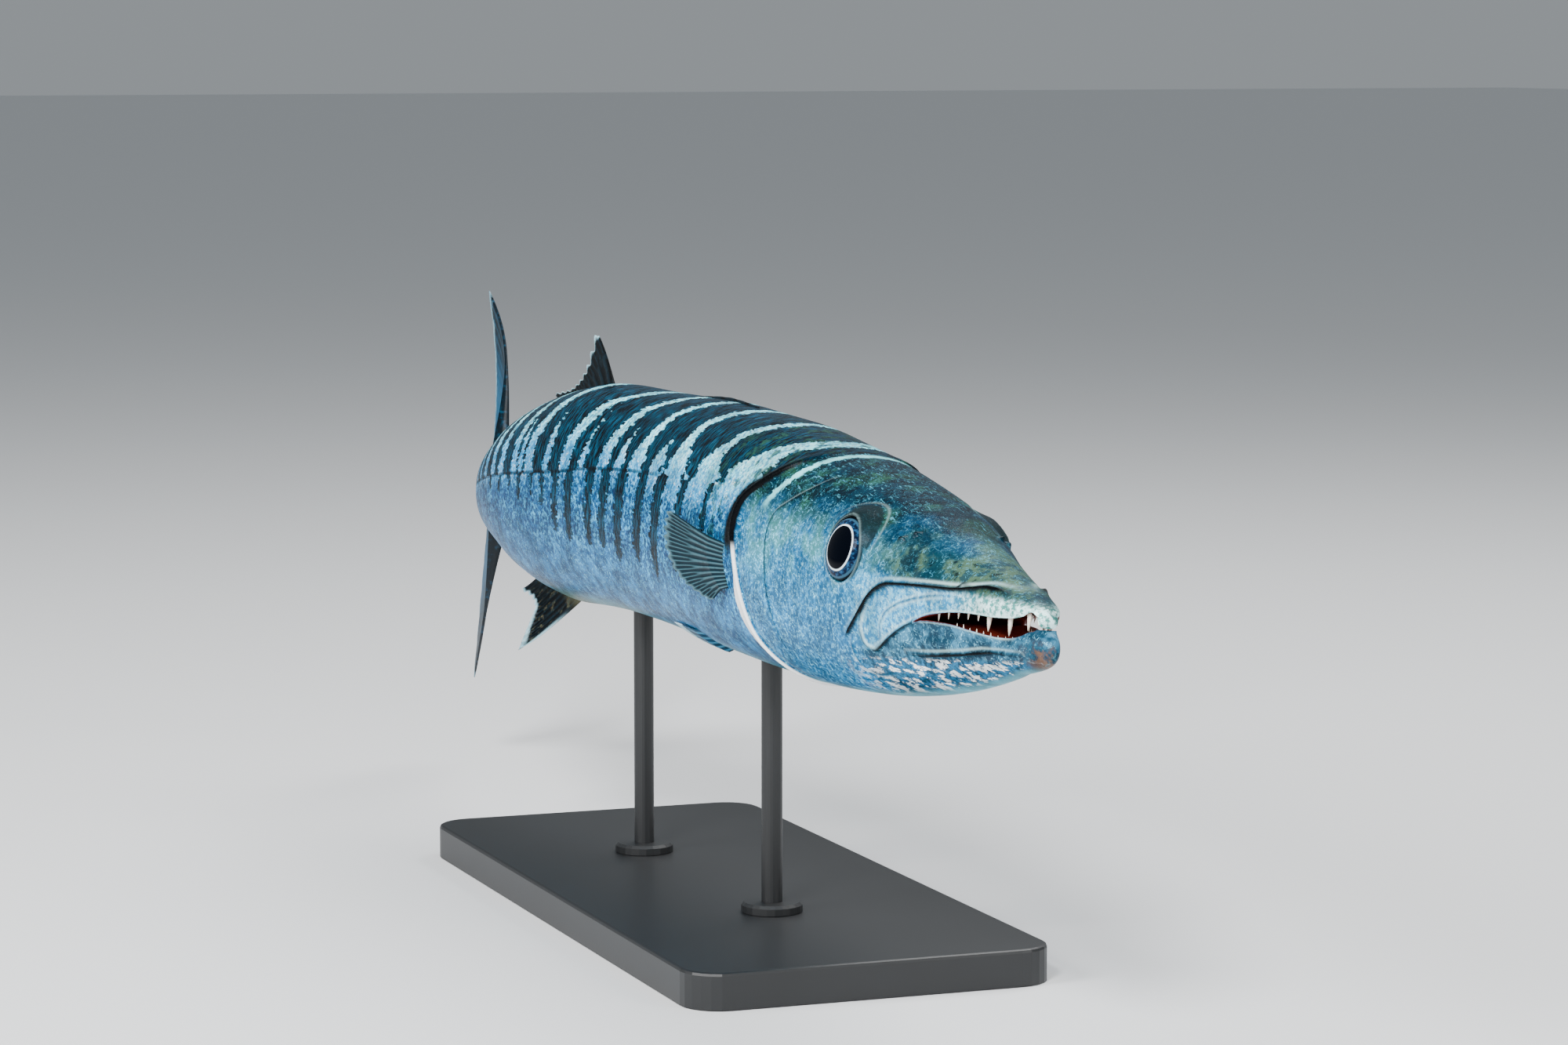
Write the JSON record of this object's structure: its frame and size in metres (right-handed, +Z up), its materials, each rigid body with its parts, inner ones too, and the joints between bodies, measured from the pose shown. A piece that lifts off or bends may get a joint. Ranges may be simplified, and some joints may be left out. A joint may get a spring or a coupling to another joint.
{
  "type": "barracuda museum model on a display stand",
  "caption": "Life-size great barracuda in a slow swimming bend, mouth a little open, on a flat base with rods up to the belly.",
  "frame": {"origin": "middle of the underside of the stand's base, on the floor", "axes": "+X from the tail towards the head, +Y to the fish's left, +Z up"},
  "size_m": [1.1763, 0.23, 0.3606],
  "materials": {
    "skin": "wet, finely scaled fish skin: dark banded back, silver blue side",
    "eye": "clear cornea over a dark iris with a silver ring round the pupil",
    "fin": "dark fin membrane with raised rays and pale tips",
    "stand": "satin black paint on a fibreboard base and steel rods"
  },
  "bodies": {
    "root": {"head": "skin", "lower_jaw": "skin", "torso": "skin", "tail": "skin", "eye_left": "eye", "eye_right": "eye", "pectoral_fin_left": "fin", "pectoral_fin_right": "fin", "pelvic_fin_left": "fin", "pelvic_fin_right": "fin", "dorsal_fin_first": "fin", "dorsal_fin_second": "fin", "anal_fin": "fin", "caudal_fin_upper": "fin", "caudal_fin_lower": "fin", "stand_base": "stand", "stand_rod_front": "stand", "stand_rod_rear": "stand"}
  },
  "joints": []
}
